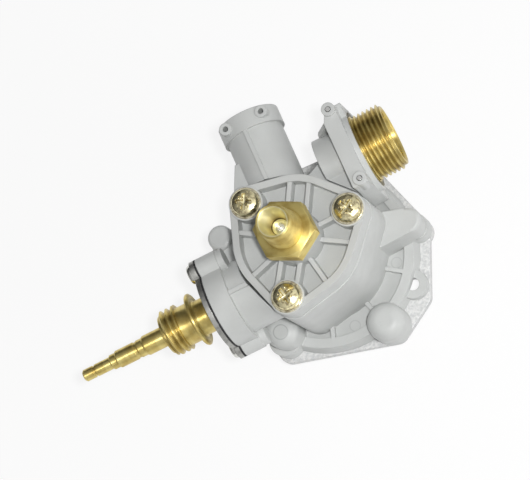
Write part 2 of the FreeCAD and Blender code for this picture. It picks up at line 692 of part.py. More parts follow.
# ---------------------------------------------------------------- fasteners
def pan_screw(name, at, head_radius, head_height, length, along="Z"):
    """A pan-head screw with a plain shank, its head standing at a point along a direction."""
    shank = dim.screw_radius - 0.03
    return turned(name, [
        (0, -length), (shank - 0.6, -length), (shank, -length + 1), (shank, 0),
        (head_radius, 0), (head_radius, head_height * 0.35),
        (head_radius * 0.86, head_height * 0.75), (head_radius * 0.55, head_height),
        (0, head_height)], along, at)


def group(label, items):
    """One node that holds several separate solids of the same kind."""
    compound = doc.addObject("Part::Compound", label)
    compound.Label = label
    compound.Links = items
    return compound


def ring(name, inner, outer, thickness, place, along="Z"):
    """A plain washer or seal: an outer cylinder less an inner one."""
    blank = cylinder(name + "_blank", outer, thickness, place, along)
    hole = cylinder(name + "_hole", inner, thickness, place, along)
    washer = doc.addObject("Part::Cut", name)
    washer.Base = blank
    washer.Tool = hole
    washer.Label = name
    return washer


def section_round(radius, sides):
    """Corners of a regular cord or wire section, as offsets along its two directions."""
    turns = [2 * math.pi * (side + 0.5) / sides for side in range(sides)]
    return [(radius * round(math.cos(turn), 6), radius * round(math.sin(turn), 6))
            for turn in turns]


def o_ring(name, centre_radius, cord_radius, place, along="Z"):
    """A rubber ring: an eight-sided cord spun about its axis."""
    corners = [(out + centre_radius, up) for out, up in section_round(cord_radius, 8)]
    return turned(name, corners, along, place)


def make_fasteners():
    spots = [polar(dim.lobe_circle, turn) for turn in THIRDS]
    seat = dim.lobe_top + dim.cap_washer
    washers = [ring("cap_washer_%d" % count, dim.screw_radius + 0.1, dim.cap_washer_radius,
                    dim.cap_washer, (x, y, dim.lobe_top)) for count, (x, y) in enumerate(spots)]
    screws = [pan_screw("cap_screw_%d" % count, (x, y, seat), dim.cap_head,
                        dim.cap_head_height, seat - dim.cap_seat + 10)
              for count, (x, y) in enumerate(spots)]
    rear = []
    for letter in PILLARS:
        x, y = pillar_centre(letter)
        place = (x, y, dim.dome_depth - dim.cover_wall)
        rear.append(pan_screw("cover_screw_" + letter, place, dim.cover_head,
                              dim.cover_head_height, dim.cover_wall + dim.plate_thick + 9, "-Z"))
    side = []
    outer_face = -(dim.side_face + dim.side_gasket + dim.side_plate)
    for name, reach in (("high", dim.side_ear_at), ("low", -dim.side_ear_at)):
        y, z = polar(reach, dim.side_ear_turn)
        place = (outer_face, dim.spindle_y + y, dim.spindle_level + z)
        side.append(pan_screw("side_screw_" + name, place, dim.side_head,
                              dim.side_head_height, dim.side_gasket + dim.side_plate + 5, "-X"))
    return [group("cap_screw_washers", washers), group("cap_screws", screws),
            group("back_cover_screws", rear), group("side_cover_screws", side)]


# ---------------------------------------------------------------- gland and push rod
dim.add(seal_inner=8.2, seal_outer=9.8, packing_outer=4.4, packing_height=4,
        plate_radius=20, disc_radius=8.2, rod_foot=20.2, spring_mean=9, spring_wire=0.6,
        spring_turns=5, spring_foot=4.1, spring_room=2.1, plate_gap=0.45, pin_centre=0.7)
doc.recompute()


def make_pin_gland():
    """The brass gland: a hexagon, a tapered neck with a funnel, and a plain spigot."""
    body = new_body("pin_gland")
    spin(body, "Revolution", "gland_turning", [
        (0, dim.gland_foot), (dim.gland_bore - 0.05, dim.gland_foot),
        (dim.gland_bore - 0.05, dim.hex_base), (dim.neck_foot, dim.hex_base + 1),
        (dim.neck_foot, dim.hex_base + dim.hex_height), (dim.neck_rim, dim.gland_top),
        (0, dim.gland_top)])
    hexagon = new_sketch(body, "gland_hexagon", offset=dim.hex_base)
    corner = dim.hex_width / 1.732051
    polygon(hexagon, [polar(corner, 33 + 60 * side) for side in range(6)])
    pad(body, hexagon, dim.hex_height)
    shoulder = dim.hex_base + dim.hex_height
    reach = number(corner)
    spin(body, "Groove", "hexagon_chamfer", [
        (dim.hex_width / 2 - 0.3, shoulder + 0.02), (reach + 1, shoulder + 0.02),
        (reach + 1, shoulder - 1.4)])
    spin(body, "Groove", "gland_bores", [
        (0, dim.gland_foot - 1), (dim.packing_outer, dim.gland_foot - 1),
        (dim.packing_outer, dim.gland_foot + dim.packing_height),
        (dim.pin_bore, dim.gland_foot + dim.packing_height), (dim.pin_bore, dim.throat_level),
        (dim.funnel_throat, dim.throat_level), (dim.funnel_rim, dim.gland_top - 1.2),
        (dim.funnel_rim, dim.gland_top + 1), (0, dim.gland_top + 1)])
    return body


def make_push_pin():
    """The centre-drilled pin that runs from the diaphragm plate up into the throat."""
    top = dim.pin_top
    rod = dim.pin_radius
    return turned("push_pin", [
        (0, dim.rod_foot), (rod, dim.rod_foot), (rod, top - 0.6), (rod - 0.6, top),
        (dim.pin_centre, top), (0, top - dim.pin_centre)])


def make_diaphragm_plate():
    """The moulded plate that the diaphragm lifts, with a hub fixed on the pin."""
    low = plate_front + dim.plate_gap
    return turned("diaphragm_plate", [
        (0, low), (dim.plate_radius, low), (dim.plate_radius, low + 1.4),
        (7, low + 2.2), (5, low + 8), (dim.pin_radius, low + 8), (dim.pin_radius, dim.rod_foot),
        (0, dim.rod_foot)])


def make_valve_disc():
    """The diverter disc on the pin, which rests just above its seat."""
    low = dim.shelf_high + 1.4
    return turned("valve_disc", [
        (dim.pin_radius, low), (dim.disc_radius, low), (dim.disc_radius, low + 2),
        (4, low + 3), (4, low + 6), (dim.pin_radius, low + 6)])


def make_seat_ring():
    """The brass seat pressed into the shelf, with a raised lip under the disc."""
    top = dim.shelf_high
    return turned("seat_ring", [
        (dim.seat_bore - 1.7, dim.shelf_low), (dim.seat_bore - 0.03, dim.shelf_low),
        (dim.seat_bore - 0.03, top), (dim.disc_radius + 0.6, top),
        (dim.disc_radius + 0.6, top + 0.5), (dim.seat_bore - 0.6, top + 0.9),
        (dim.seat_bore - 1.7, top + 0.9)])


def make_diaphragm():
    """The rubber diaphragm: a clamped rim, one rolled fold and a flat middle."""
    low = plate_front - 1.2
    return turned("diaphragm", [
        (0, low + 0.1), (20.6, low + 0.1), (21.6, low - 2.4), (24.6, low - 2.4), (26, low),
        (dim.recess_radius + 1.6, low), (dim.recess_radius + 1.6, low + 1.2),
        (25.2, low + 1.2), (24, low - 1.2), (22.4, low - 1.2), (21.4, low + 1.3),
        (0, low + 1.3)])


def make_return_spring():
    """The coil spring between the shelf and the diaphragm plate, of six-sided wire."""
    low = plate_front + dim.spring_foot
    height = number(dim.shelf_low - low - dim.spring_room)
    mean = number(dim.spring_mean)
    helix = Part.makeHelix(height / number(dim.spring_turns), height, mean)
    corners = [Vector(number(out + mean), 0, number(up))
               for out, up in section_round(dim.spring_wire, 6)]
    section = Part.makePolygon(corners + corners[:1])
    spring = doc.addObject("Part::Feature", "return_spring")
    spring.Label = "return_spring"
    spring.Shape = Part.Wire(helix).makePipeShell([section], True, True)
    spring.Placement = Placement(Vector(0, 0, number(low)), Rotation())
    bind(spring, "Placement.Base.z", low)
    return spring


# ---------------------------------------------------------------- inlet fittings
dim.add(nipple_collar=15.1, nipple_neck=13.6, tail_radius=9, tail_way=6.8,
        filter_radius=10.2, filter_length=12, filter_start=31.4, tail_cord=0.85,
        seal_width=2.2, clip_play=0.2)
doc.recompute()


def make_inlet_nipple():
    """The brass nipple: sealed tail, retaining collar, clip groove and thread blank."""
    start = dim.tail_floor + 0.2
    tail, groove = dim.tail_radius, dim.tail_radius - dim.tail_cord * 2 + 0.1
    base = dim.socket_floor - start
    clip = dim.inlet_clip_x - dim.clip_wire - dim.clip_play - start
    thread = dim.collar_end - start
    end = dim.nipple_end - start
    step = dim.filter_start - start
    return turned("inlet_nipple", [
        (dim.tail_way, 0), (tail, 0), (tail, 0.6), (groove, 0.6),
        (groove, dim.seal_width + 0.6), (tail, dim.seal_width + 0.6), (tail, base),
        (dim.nipple_collar, base), (dim.nipple_collar, clip), (dim.nipple_neck, clip),
        (dim.nipple_neck, thread), (dim.thread_major, thread), (dim.thread_major, end - 1.2),
        (dim.thread_major - 1.2, end), (dim.nipple_bore + 0.8, end),
        (dim.nipple_bore, end - 0.8), (dim.nipple_bore, step), (dim.tail_way, step)],
        "X", (start, dim.inlet_y, dim.inlet_level))


def make_inlet_clip():
    """The steel wire clip: two legs up through the block, joined by a bar below it."""
    x, y = number(dim.inlet_clip_x), number(dim.inlet_y)
    half, bend = number(dim.inlet_clip_half), 3
    top, low = number(dim.inlet_boss_top) + 0.3, number(dim.block_bottom) - 2.6
    middle = bend * (1 - math.cos(math.pi / 4))
    edges = [
        Part.LineSegment(Vector(x, y - half, top), Vector(x, y - half, low + bend)),
        Part.Arc(Vector(x, y - half, low + bend), Vector(x, y - half + middle, low + middle),
                 Vector(x, y - half + bend, low)),
        Part.LineSegment(Vector(x, y - half + bend, low), Vector(x, y + half - bend, low)),
        Part.Arc(Vector(x, y + half - bend, low), Vector(x, y + half - middle, low + middle),
                 Vector(x, y + half, low + bend)),
        Part.LineSegment(Vector(x, y + half, low + bend), Vector(x, y + half, top))]
    path = Part.Wire([edge.toShape() for edge in edges])
    section = Part.Wire(Part.makeCircle(number(dim.clip_wire), Vector(x, y - half, top),
                                        Vector(0, 0, -1)))
    clip = doc.addObject("Part::Feature", "inlet_clip")
    clip.Label = "inlet_clip"
    clip.Shape = path.makePipeShell([section], True, False)
    return clip


def make_inlet_filter():
    """The strainer basket that sits against the step in the nipple's bore."""
    wall = dim.filter_radius
    length = dim.filter_length
    return turned("inlet_filter", [
        (0, 0), (wall - 3, 0), (wall, length - 1.4), (wall, length), (wall - 1, length),
        (wall - 4, 1), (0, 1)], "X", (dim.filter_start, dim.inlet_y, dim.inlet_level))


# ---------------------------------------------------------------- side cover and spindle
dim.add(gland_neck=7, gland_disc=10.7, disc_at=48.2, disc_thick=1.7, gland_plain=7.8,
        thread_at=54.4, gland_thread=9.3, gland_end=62.6, spindle_bore=4.05,
        spindle_radius=4, spindle_end=98.8, gland_flange=10.6, spindle_start=24,
        spindle_screw=2.4, spindle_neck=3.5, spindle_tip=2.45, stop_at=37, stop_radius=5.2,
        seal_first=41.4, seal_second=44.6, seal_cord=0.54, seal_floor=2.9,
        cone_start=19.5, cone_length=10.4, cone_nose=3, cone_radius=5.4, seat_hole=4.4,
        venturi_throat=2.2)
doc.recompute()


def side_outline(name, level, length, hole):
    """The eared outline of the side cover, as a body that lies against the side flange."""
    body = new_body(name)
    disc = side_sketch(body, name + "_disc", offset=-level)
    circle(disc, 0, 0, dim.side_disc)
    pad(body, disc, length, reverse=True)
    bar = side_sketch(body, name + "_bar", -level, dim.side_ear_turn)
    rectangle(bar, -dim.side_ear_at, dim.side_ear_at, -dim.side_ear, dim.side_ear)
    pad(body, bar, length, reverse=True)
    ears = side_sketch(body, name + "_ears", -level, dim.side_ear_turn)
    screws = side_sketch(body, name + "_holes", -level, dim.side_ear_turn)
    for side in (-1, 1):
        circle(ears, dim.side_ear_at * side, 0, dim.side_ear)
        circle(screws, dim.side_ear_at * side, 0, dim.screw_radius + dim.screw_play)
    pad(body, ears, length, reverse=True)
    pocket(body, screws, length)
    bore = side_sketch(body, name + "_bore", offset=-level)
    circle(bore, 0, 0, hole)
    pocket(body, bore, length)
    return body


def spindle_place(start):
    """The point on the spindle's axis that lies start outwards from the valve's axis."""
    return (-start, dim.spindle_y, dim.spindle_level)


def make_spindle_gland():
    """The brass gland of the spindle: inner flange, neck, thin disc and thread blank."""
    start = dim.side_face - 1.6
    plate = dim.side_face - start
    groove = dim.thread_at - start
    disc = dim.disc_at - start
    end = dim.gland_end - start
    return turned("spindle_gland", [
        (dim.spindle_bore, 0), (dim.gland_flange, 0), (dim.gland_flange, plate - 0.1),
        (dim.gland_neck, plate - 0.1), (dim.gland_neck, disc), (dim.gland_disc, disc),
        (dim.gland_disc, disc + dim.disc_thick), (dim.gland_plain, disc + dim.disc_thick),
        (dim.gland_plain, groove), (dim.gland_thread, groove + 0.8),
        (dim.gland_thread, end - 1), (dim.gland_thread - 1, end), (dim.spindle_bore, end)],
        "-X", spindle_place(start))


def make_control_spindle():
    """The stepped brass spindle that a knob turns, with two seal grooves in the gland."""
    start = dim.spindle_start
    rod, groove, neck = dim.spindle_radius, dim.seal_floor, dim.spindle_neck
    stops = [
        (0, start), (dim.spindle_screw, start), (dim.spindle_screw, dim.stop_at - 1.4),
        (dim.stop_radius, dim.stop_at - 1.4), (dim.stop_radius, dim.stop_at),
        (rod, dim.stop_at)]
    for seal in (dim.seal_first, dim.seal_second):
        low, high = seal - dim.seal_cord - 0.05, seal + dim.seal_cord + 0.05
        stops += [(rod, low), (groove, low), (groove, high), (rod, high)]
    stops += [
        (rod, Size(71.6, "71.6")), (neck, Size(72.4, "72.4")), (neck, Size(74.6, "74.6")),
        (neck - 0.3, Size(75, "75")), (neck - 0.3, Size(75.8, "75.8")),
        (neck, Size(76.2, "76.2")), (neck, Size(83.6, "83.6")), (3, Size(84.2, "84.2")),
        (3, Size(86.4, "86.4")), (dim.spindle_tip, Size(86.9, "86.9")),
        (dim.spindle_tip, Size(93.4, "93.4")), (2.1, Size(93.6, "93.6")),
        (2.1, Size(94.2, "94.2")), (2.4, Size(94.4, "94.4")), (2.4, dim.spindle_end - 0.6),
        (1.8, dim.spindle_end), (0, dim.spindle_end)]
    return turned("control_spindle", [(radius, stop - start) for radius, stop in stops],
                  "-X", spindle_place(start))


def make_flow_cone():
    """The regulating cone on the spindle's screw, which moves along the side port."""
    wide = dim.cone_radius
    bore = dim.spindle_screw + 0.05
    return turned("flow_cone", [
        (0, 0), (dim.cone_nose, 0), (wide, 5), (wide, dim.cone_length - 0.4),
        (wide + 0.5, dim.cone_length - 0.4), (wide + 0.5, dim.cone_length),
        (bore, dim.cone_length), (bore, 1.5), (0, 1.5)], "-X", spindle_place(dim.cone_start))


def make_port_seat():
    """The insert in the side port that the cone closes against."""
    outer = dim.port_bore - 0.03
    return turned("port_seat", [
        (dim.seat_hole, 0), (outer, 0), (outer, 2), (dim.seat_hole, 2)],
        "-X", spindle_place(dim.upper_bore + 1))


def make_venturi():
    """The moulded insert that narrows the way out to the outlet."""
    outer = dim.outlet_bore / 2 - 0.03
    return turned("venturi_insert", [
        (dim.venturi_throat, 0), (outer, 0), (outer, 7.4), (outer - 0.8, 7.4),
        (dim.venturi_throat, 3)], "Y", (0, dim.upper_bore + 1.7, dim.port_level))


def make_pieces():
    pieces = [make_main_body(), make_top_cap(), make_back_cover()]
    pieces += make_fasteners()
    pieces += [make_pin_gland(), make_push_pin(), make_diaphragm_plate(), make_valve_disc(),
               make_seat_ring(), make_diaphragm(), make_return_spring()]
    pieces += [make_inlet_nipple(), make_inlet_clip(), make_inlet_filter()]
    pieces += [side_outline("side_cover_gasket", dim.side_face, dim.side_gasket,
                            dim.gland_flange + 0.1),
               side_outline("side_cover_plate", dim.side_face + dim.side_gasket,
                            dim.side_plate, dim.gland_neck + 0.1)]
    pieces += [make_spindle_gland(), make_control_spindle(), make_flow_cone(), make_port_seat(),
               make_venturi()]
    pieces.append(ring("gland_seal", dim.seal_inner, dim.seal_outer,
                       dim.hex_base - dim.hub_top, (0, 0, dim.hub_top)))
    pieces.append(ring("gland_packing", dim.pin_bore, dim.packing_outer,
                       dim.packing_height, (0, 0, dim.gland_foot)))
    tail = (dim.tail_floor + 0.8 + dim.seal_width / 2, dim.inlet_y, dim.inlet_level)
    pieces.append(o_ring("inlet_o_ring", dim.tail_bore - dim.tail_cord - 0.03,
                         dim.tail_cord, tail, "X"))
    half_groove = dim.seal_groove / 2
    pieces.append(o_ring("cap_seal", dim.upper_bore + half_groove, half_groove - 0.02,
                         (0, 0, dim.cap_seat - half_groove)))
    seals = [o_ring("spindle_seal_%d" % count, dim.seal_floor + dim.seal_cord + 0.01,
                    dim.seal_cord, spindle_place(stop), "X")
             for count, stop in enumerate((dim.seal_first, dim.seal_second))]
    pieces.append(group("spindle_seals", seals))
    return pieces


def check(pieces):
    """Stop before writing anything if a feature failed or a shape isn't sound."""
    for item in doc.Objects:
        if "Invalid" in item.State or "Error" in item.State:
            raise RuntimeError(item.Name + " failed: " + ", ".join(item.State))
    for piece in pieces:
        shape = piece.Shape
        if shape.isNull() or not shape.isValid() or not shape.Solids:
            raise RuntimeError(piece.Label + " has no valid shape")


def write(pieces):
    os.makedirs("parts", exist_ok=True)
    for piece in pieces:
        piece.Shape.exportStep("parts/%s.step" % piece.Label)
        volume = round(piece.Shape.Volume / 1000, 3)
        print(piece.Label, len(piece.Shape.Solids), "solid(s)", volume, "cm3")


all_pieces = make_pieces()
doc.recompute()
check(all_pieces)
write(all_pieces)
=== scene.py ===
import json
import math

import bpy
from mathutils import Matrix, Vector


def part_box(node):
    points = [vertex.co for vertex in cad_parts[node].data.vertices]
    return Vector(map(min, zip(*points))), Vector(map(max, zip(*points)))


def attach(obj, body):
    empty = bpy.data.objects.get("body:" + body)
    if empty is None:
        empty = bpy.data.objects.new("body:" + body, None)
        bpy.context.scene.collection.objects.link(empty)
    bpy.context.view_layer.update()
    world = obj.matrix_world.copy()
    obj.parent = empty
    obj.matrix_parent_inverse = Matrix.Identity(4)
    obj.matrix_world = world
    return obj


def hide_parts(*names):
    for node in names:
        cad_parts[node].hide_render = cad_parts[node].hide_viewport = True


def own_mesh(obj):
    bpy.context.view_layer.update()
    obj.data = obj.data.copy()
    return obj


# The diverter valve. Its CAD nodes get their finishes here, and finer pieces stand for the
# threaded brass, the screws, their washers and the return spring.
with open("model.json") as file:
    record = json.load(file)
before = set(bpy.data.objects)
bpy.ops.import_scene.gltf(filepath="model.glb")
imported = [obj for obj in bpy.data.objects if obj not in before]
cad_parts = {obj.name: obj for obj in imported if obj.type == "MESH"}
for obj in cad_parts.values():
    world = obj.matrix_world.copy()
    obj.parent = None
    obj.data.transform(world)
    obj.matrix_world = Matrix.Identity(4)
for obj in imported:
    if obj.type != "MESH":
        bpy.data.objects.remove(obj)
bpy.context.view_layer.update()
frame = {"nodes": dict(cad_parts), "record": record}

MM = 0.001


def mm(*numbers):
    """Sizes in millimetres, as metres."""
    return tuple(number * MM for number in numbers)


# ---------------------------------------------------------------- places from the frame
MOUNTS = {mount["name"]: mount for mount in frame["record"]["mounts"]}
INLET_Y, INLET_Z = MOUNTS["inlet_thread"]["pos_m"][1:]
SPINDLE_Y, SPINDLE_Z = MOUNTS["gland_thread"]["pos_m"][1:]


# ---------------------------------------------------------------- sizes
# Where the screws stand, as in the CAD.
LOBE_CIRCLE = 22.7 * MM
BACK_SCREW_SEAT = 12.0 * MM
# The housing's pillars: distance from the push pin's axis in millimetres, turn in degrees.
PILLARS = ((37, -70.5), (33, -140), (37.4, -8), (38.6, 53.4), (37, 146.5))
SIDE_EAR_AT = 16.5 * MM
SIDE_EAR_TURN = math.radians(30)
# The threads, which the CAD leaves as plain cylinders.
PIPE_PITCH = 1.814 * MM
GLAND_PITCH = 2.4 * MM


# ---------------------------------------------------------------- shader nodes
class Nodes:
    """A node tree, filled by short calls in the order in which its nodes are used."""

    def __init__(self, tree):
        self.tree = tree

    def feed(self, socket, value):
        """Join a socket to another node's output, or set its constant."""
        if isinstance(value, bpy.types.NodeSocket):
            self.tree.links.new(value, socket)
        else:
            socket.default_value = value

    def add(self, kind, *values, settings=None, **named):
        """A new node, with values for its first inputs in turn or for inputs by name."""
        node = self.tree.nodes.new(kind)
        for name, value in (settings or {}).items():
            setattr(node, name, value)
        for socket, value in zip(node.inputs, values):
            self.feed(socket, value)
        for name, value in named.items():
            self.feed(node.inputs[name], value)
        return node

    def math(self, operation, first, second=0.0):
        node = self.add("ShaderNodeMath", first, second, settings={"operation": operation})
        return node.outputs[0]

    def stretch(self, low, high, value, to_low=0.0, to_high=1.0):
        """A value between low and high, moved to the range to_low to to_high and kept in it."""
        node = self.add("ShaderNodeMapRange", value, low, high, to_low, to_high)
        return node.outputs["Result"]

    def mix(self, factor, first, second):
        """A colour between two others: inputs 6 and 7 and output 2 are the node's colours."""
        node = self.add("ShaderNodeMix", factor, settings={"data_type": "RGBA"})
        self.feed(node.inputs[6], first)
        self.feed(node.inputs[7], second)
        return node.outputs[2]


class Shader(Nodes):
    """A material. Scales of noise are per metre, and distances are in metres."""

    def __init__(self, name, base):
        self.material = bpy.data.materials.new(name)
        self.material.use_nodes = True
        super().__init__(self.material.node_tree)
        self.bsdf = self.tree.nodes["Principled BSDF"]
        self.dress(base)
        self.place = self.add("ShaderNodeTexCoord").outputs["Object"]

    def dress(self, inputs):
        """Set the surface's own inputs by name."""
        for name, value in inputs.items():
            self.feed(self.bsdf.inputs[name], value)

    def finished(self, colour, rough, normal):
        """Dress the surface in its colour, roughness and normal, and return the material."""
        self.dress({"Base Color": colour, "Roughness": rough, "Normal": normal})
        return self.material

    def noise(self, scale, detail=3.0, place=None, roughness=0.5):
        node = self.add("ShaderNodeTexNoise", Vector=place or self.place, Scale=scale,
                        Detail=detail, Roughness=roughness)
        return node.outputs["Fac"]

    def bump(self, height, strength, distance, normal=None):
        node = self.add("ShaderNodeBump", Strength=strength, Distance=distance, Height=height)
        if normal is not None:
            self.feed(node.inputs["Normal"], normal)
        return node.outputs["Normal"]

    def soft_edges(self, radius):
        """The normal that a small rounding along every edge would give."""
        return self.add("ShaderNodeBevel", settings={"samples": 6},
                        Radius=radius).outputs["Normal"]

    def from_axis(self, centre, axis):
        """Distance from a line along a direction of the valve, and the distance along it."""
        shifted = self.add("ShaderNodeVectorMath", self.place, centre,
                           settings={"operation": "SUBTRACT"})
        parts = self.add("ShaderNodeSeparateXYZ", shifted.outputs[0]).outputs
        squares = [self.math("MULTIPLY", parts[part], parts[part])
                   for part in "XYZ" if part != axis]
        reach = self.math("SQRT", self.math("ADD", *squares))
        return reach, parts[axis]

    def off_level(self, value, level):
        """How far a value is from a level, either way."""
        return self.math("ABSOLUTE", self.math("SUBTRACT", value, level))


def srgb(red, green, blue):
    """A colour written as it looks, turned into scene-linear values."""
    def linear(value):
        return value / 12.92 if value <= 0.04045 else ((value + 0.055) / 1.055) ** 2.4
    return (linear(red), linear(green), linear(blue), 1.0)


# ---------------------------------------------------------------- plastics and rubber
# Witness marks of the moulding tool: centre, level and radius in millimetres, and how
# clearly they show.
MOULD_MARKS = (((24.5, -13.9), 22.6, 2.1, 0.5), ((-0.4, -29.1), 22.6, 2.1, 0.5),
               ((-25.3, -22.0), 38.0, 2.8, 1.0))


def moulded_housing():
    """Grey glass-filled nylon: a fine grain, faint clouding and round tool marks."""
    shader = Shader("moulded_housing", {"IOR": 1.5})
    cloud = shader.stretch(0.35, 0.65, shader.noise(70.0, 4.0))
    colour = shader.mix(cloud, srgb(0.755, 0.762, 0.754), srgb(0.785, 0.792, 0.785))
    speck = shader.stretch(0.62, 0.72, shader.noise(1500.0, 2.0))
    colour = shader.mix(shader.math("MULTIPLY", speck, 0.3), colour, srgb(0.72, 0.725, 0.725))
    height = shader.math("MULTIPLY", shader.noise(2600.0, 2.0), 0.12)
    for (x, y), level, radius, rise in MOULD_MARKS:
        reach, up = shader.from_axis(mm(x, y, 0.0), "Z")
        near = shader.stretch((level + 1.0) * MM, (level + 0.5) * MM, up, 0.0, rise)
        disc = shader.stretch((radius + 0.12) * MM, (radius - 0.12) * MM, reach)
        height = shader.math("ADD", height, shader.math("MULTIPLY", disc, near))
        off = shader.off_level(reach, radius * MM)
        line = shader.stretch(0.3 * MM, 0.08 * MM, off, 0.0, 0.45)
        colour = shader.mix(shader.math("MULTIPLY", line, near), colour, srgb(0.5, 0.51, 0.51))
    sheen = shader.stretch(0.3, 0.7, shader.noise(240.0), 0.36, 0.5)
    normal = shader.bump(height, 0.5, 0.15 * MM, shader.soft_edges(0.5 * MM))
    return shader.finished(colour, sheen, normal)


def seal_rubber():
    """Black moulded rubber with a dusty bloom."""
    shader = Shader("seal_rubber", {"IOR": 1.45})
    bloom = shader.stretch(0.45, 0.75, shader.noise(600.0, 4.0))
    colour = shader.mix(bloom, srgb(0.13, 0.13, 0.135), srgb(0.24, 0.24, 0.24))
    return shader.finished(colour, 0.7, shader.bump(shader.noise(3000.0, 2.0), 0.2, 0.05 * MM))


def inner_plastic():
    """Off-white acetal of the inner mouldings, with faint flow clouding."""
    shader = Shader("inner_plastic", {"IOR": 1.48})
    flow = shader.stretch(0.35, 0.65, shader.noise(150.0, 3.0))
    colour = shader.mix(flow, srgb(0.90, 0.89, 0.86), srgb(0.94, 0.935, 0.91))
    return shader.finished(colour, 0.38, shader.bump(shader.noise(2200.0, 2.0), 0.15, 0.05 * MM))


# ---------------------------------------------------------------- metals
def cast_aluminium():
    """Bright die-cast metal: mottled light and dull patches with a pebbled skin."""
    shader = Shader("cast_aluminium", {"Metallic": 0.5})
    patches = shader.stretch(0.38, 0.62, shader.noise(800.0, 5.0, roughness=0.62))
    colour = shader.mix(patches, srgb(0.775, 0.78, 0.78), srgb(0.865, 0.865, 0.86))
    pits = shader.stretch(0.55, 0.75, shader.noise(1300.0, 3.0))
    colour = shader.mix(shader.math("MULTIPLY", pits, 0.5), colour, srgb(0.64, 0.645, 0.64))
    rough = shader.stretch(0.3, 0.7, shader.noise(500.0), 0.46, 0.64)
    normal = shader.bump(patches, 0.25, 0.2 * MM, shader.soft_edges(0.6 * MM))
    return shader.finished(colour, rough, normal)


def paint_bore_light_and_shade(shader, colour, reach, along, radius, level):
    """Painted light and shade: paler brass inside a radius, and a painted shade line round the
    bore at a level.
    """
    # Painted light: inside the radius the brass is painted paler, except close to the level.
    inside = shader.math("LESS_THAN", reach, radius)
    above = shader.stretch(level, level + 5 * MM, along)
    below = shader.stretch(level, level - 0.3 * MM, along)
    painted_light_mask = shader.math("MULTIPLY", inside, shader.math("MAXIMUM", above, below))
    colour = shader.mix(painted_light_mask, colour, srgb(1.0, 0.975, 0.80))
    # Painted shade: a dark line round the bore at the level.
    line = shader.stretch(0.65 * MM, 0.3 * MM, shader.off_level(along, level))
    return shader.mix(shader.math("MULTIPLY", inside, line), colour, srgb(0.34, 0.27, 0.13))


def paint_root_shade(shader, colour, reach, low, high):
    """Painted shade: a thread that darkens from a radius a little under its crests down to its
    roots.
    """
    deep = shader.stretch(high, low, reach, 0.0, 0.45)
    outside = shader.math("GREATER_THAN", reach, low - 0.1 * MM)
    return shader.mix(shader.math("MULTIPLY", deep, outside), colour, srgb(0.40, 0.31, 0.12))


def turned_brass(name, centre, axis, bore=None, roots=None, gloss=(0.36, 0.48)):
    """Brass off the lathe: tool marks round its axis, and a warm brown tarnish.

    The bore is a radius and a level for the bore's painted light and its painted shade line, the
    roots are two radii for the painted shade in the thread roots, and the gloss is the least and
    the most roughness.
    """
    shader = Shader(name, {"Metallic": 1.0, "Anisotropic": 0.85, "Anisotropic Rotation": 0.25})
    around = shader.add("ShaderNodeTangent", settings={"direction_type": "RADIAL", "axis": axis})
    shader.dress({"Tangent": around.outputs[0]})
    reach, along = shader.from_axis(centre, axis)
    section = shader.add("ShaderNodeCombineXYZ", reach, along).outputs[0]
    marks = 2600.0
    tool = shader.noise(marks, 2.0, section)
    broad = shader.noise(marks / 7, 2.0, section)
    stain = shader.stretch(0.42, 0.7, shader.noise(190.0, 4.0))
    colour = shader.mix(stain, srgb(0.88, 0.81, 0.53), srgb(0.72, 0.62, 0.34))
    colour = shader.mix(shader.stretch(0.5, 0.75, broad), colour, srgb(0.79, 0.70, 0.41))
    # Painted light in the bore with a painted shade line round it, and painted shade in the
    # thread roots.
    if bore:
        colour = paint_bore_light_and_shade(shader, colour, reach, along, *bore)
    if roots:
        colour = paint_root_shade(shader, colour, reach, *roots)
    rough = shader.stretch(0.3, 0.7, tool, *gloss)
    normal = shader.bump(tool, 0.3, 0.12 * MM, shader.soft_edges(0.25 * MM))
    return shader.finished(colour, rough, normal)


def zinc_plate(name, bright, dull, mottle, gloss=(0.14, 0.26)):
    """Zinc plate on steel, from a clean grey to a blotched yellow passivation."""
    shader = Shader(name, {"Metallic": 1.0})
    blotch = shader.stretch(0.45, 0.75, shader.noise(700.0, 3.0), 0.0, mottle)
    colour = shader.mix(blotch, bright, dull)
    rough = shader.stretch(0.3, 0.7, shader.noise(1400.0), *gloss)
    skin = shader.noise(1100.0, 2.0)
    normal = shader.bump(skin, 0.2, 0.1 * MM, shader.soft_edges(0.2 * MM))
    return shader.finished(colour, rough, normal)


def drawn_steel():
    """Stainless wire and rod with fine drawing marks."""
    shader = Shader("drawn_steel", {"Metallic": 1.0})
    marks = shader.noise(3000.0, 2.0)
    colour = shader.mix(marks, srgb(0.80, 0.80, 0.79), srgb(0.90, 0.90, 0.89))
    rough = shader.stretch(0.3, 0.7, marks, 0.2, 0.34)
    normal = shader.bump(marks, 0.15, 0.05 * MM, shader.soft_edges(0.2 * MM))
    return shader.finished(colour, rough, normal)


